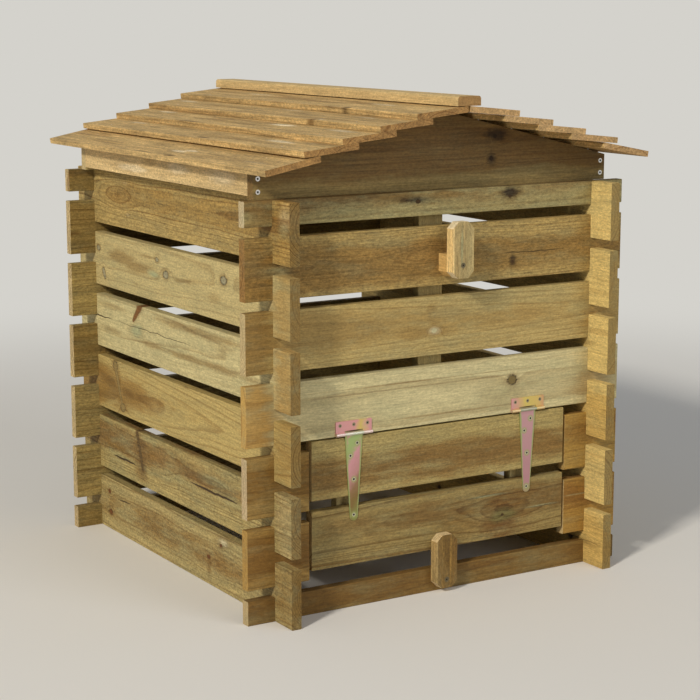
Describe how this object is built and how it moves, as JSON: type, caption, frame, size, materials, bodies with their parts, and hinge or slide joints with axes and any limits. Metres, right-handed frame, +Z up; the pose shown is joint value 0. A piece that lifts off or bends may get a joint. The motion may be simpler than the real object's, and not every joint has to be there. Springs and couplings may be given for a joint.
{
  "type": "beehive compost bin",
  "caption": "Square slatted timber compost bin with interlocked corner boards, a hinged front hatch, turn buttons and a lift-off lapped gable lid.",
  "frame": {"origin": "on the ground at the middle of the bin", "axes": "+X right seen from the hatch side, +Y from the hatch to the back, +Z up"},
  "size_m": [0.7568, 0.841, 0.8474],
  "materials": {
    "wall_timber": "sawn pressure-treated softwood",
    "roof_timber": "sawn pressure-treated softwood, weathered warmer",
    "passivated_zinc": "yellow-passivated zinc plate",
    "zinc_screws": "bright zinc plate"
  },
  "bodies": {
    "frame": {"back_board_1": "wall_timber", "back_board_2": "wall_timber", "back_board_3": "wall_timber", "back_board_4": "wall_timber", "back_board_5": "wall_timber", "back_board_6": "wall_timber", "back_board_7": "wall_timber", "catch_spacer": "wall_timber", "front_board_1": "wall_timber", "front_board_2": "wall_timber", "front_board_3": "wall_timber", "front_board_4": "wall_timber", "front_board_5_left": "wall_timber", "front_board_5_right": "wall_timber", "front_board_6_left": "wall_timber", "front_board_6_right": "wall_timber", "front_board_7": "wall_timber", "front_tie_batten": "wall_timber", "front_wall_screws": "zinc_screws", "hinge_leaf_left": "passivated_zinc", "hinge_leaf_right": "passivated_zinc", "hinge_pins": "passivated_zinc", "left_board_1": "wall_timber", "left_board_2": "wall_timber", "left_board_3": "wall_timber", "left_board_4": "wall_timber", "left_board_5": "wall_timber", "left_board_6": "wall_timber", "pivot_screws": "zinc_screws", "right_board_1": "wall_timber", "right_board_2": "wall_timber", "right_board_3": "wall_timber", "right_board_4": "wall_timber", "right_board_5": "wall_timber", "right_board_6": "wall_timber"},
    "hatch": {"hatch_board_1": "wall_timber", "hatch_board_2": "wall_timber", "hatch_batten_left": "wall_timber", "hatch_batten_right": "wall_timber", "hinge_strap_left": "passivated_zinc", "hinge_strap_right": "passivated_zinc", "strap_screws": "zinc_screws"},
    "latch": {"latch_button": "wall_timber"},
    "catch": {"catch_button": "wall_timber"},
    "lid": {"gable_front": "wall_timber", "gable_back": "wall_timber", "lid_rail_left": "wall_timber", "lid_rail_right": "wall_timber", "ridge_cap": "roof_timber", "lid_fixings": "zinc_screws", "roof_board_left_1": "roof_timber", "roof_board_left_2": "roof_timber", "roof_board_left_3": "roof_timber", "roof_board_left_4": "roof_timber", "roof_board_left_5": "roof_timber", "roof_board_right_1": "roof_timber", "roof_board_right_2": "roof_timber", "roof_board_right_3": "roof_timber", "roof_board_right_4": "roof_timber", "roof_board_right_5": "roof_timber"}
  },
  "joints": [
    {"name": "hatch_hinge", "type": "hinge", "parent": "frame", "child": "hatch", "pos_m": [0, -0.35505, 0.29805], "axis": [-1, 0, 0], "range_deg": [0, 180]},
    {"name": "latch_turn", "type": "hinge", "parent": "frame", "child": "latch", "pos_m": [-0.001, -0.36, 0.023], "axis": [0, 1, 0], "range_deg": [-90, 90]},
    {"name": "catch_turn", "type": "hinge", "parent": "frame", "child": "catch", "pos_m": [0.009, -0.386, 0.5681], "axis": [0, 1, 0], "range_deg": [-180, 180]},
    {"name": "lid_lift", "type": "slide", "parent": "frame", "child": "lid", "axis": [0, 0, 1], "range_m": [0, 0.4]}
  ]
}
